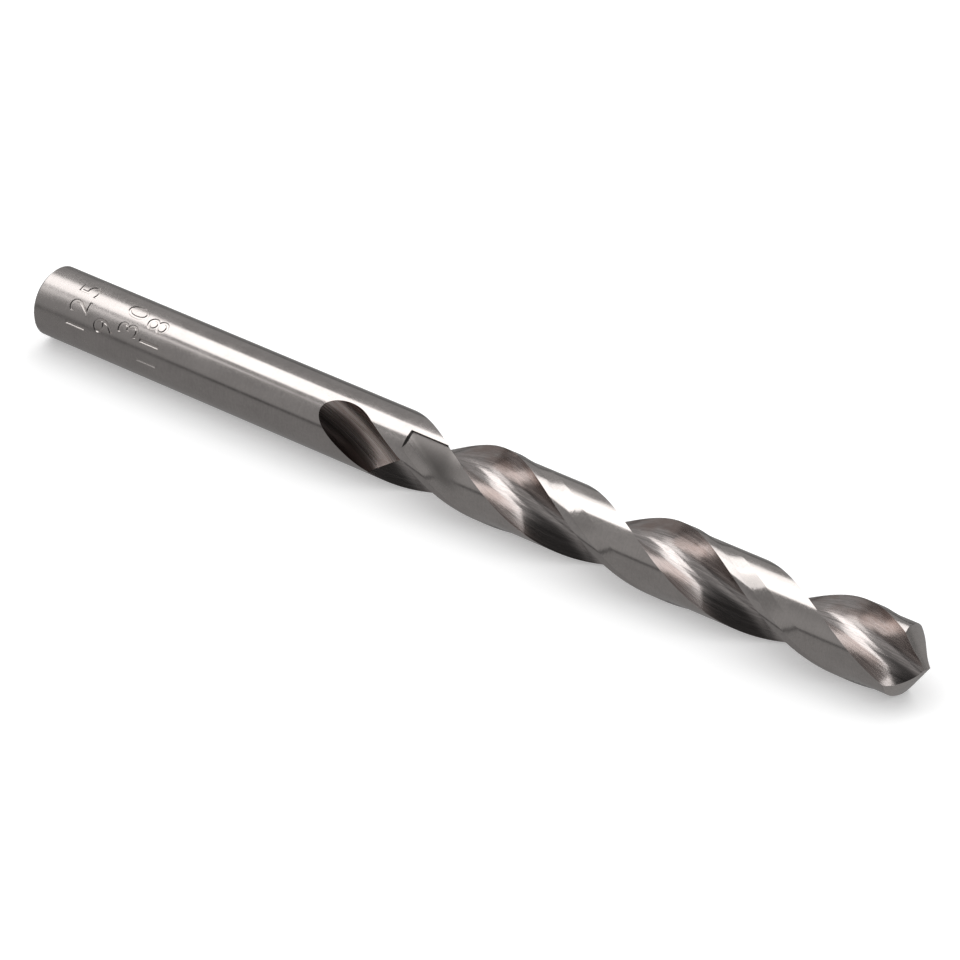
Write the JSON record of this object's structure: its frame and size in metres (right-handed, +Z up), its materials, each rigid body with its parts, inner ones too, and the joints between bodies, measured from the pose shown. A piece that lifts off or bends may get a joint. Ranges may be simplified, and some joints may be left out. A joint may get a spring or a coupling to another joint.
{
  "type": "twist drill bit",
  "caption": "Twist drill bit with a straight round shank, helical flutes and a ground conical point, for boring round holes in metal, wood and plastic.",
  "frame": {"origin": "centre of the shank's flat end face, on the bit's axis", "axes": "+X along the bit's axis from the shank to the point, +Z up as the bit lies on its side, +Y to the left seen from the shank"},
  "size_m": [0.125, 0.009, 0.009],
  "materials": {
    "tool_steel": "ground bright high-speed steel, with finer polish in the flutes"
  },
  "bodies": {
    "root": {"drill_bit": "tool_steel"}
  },
  "joints": []
}
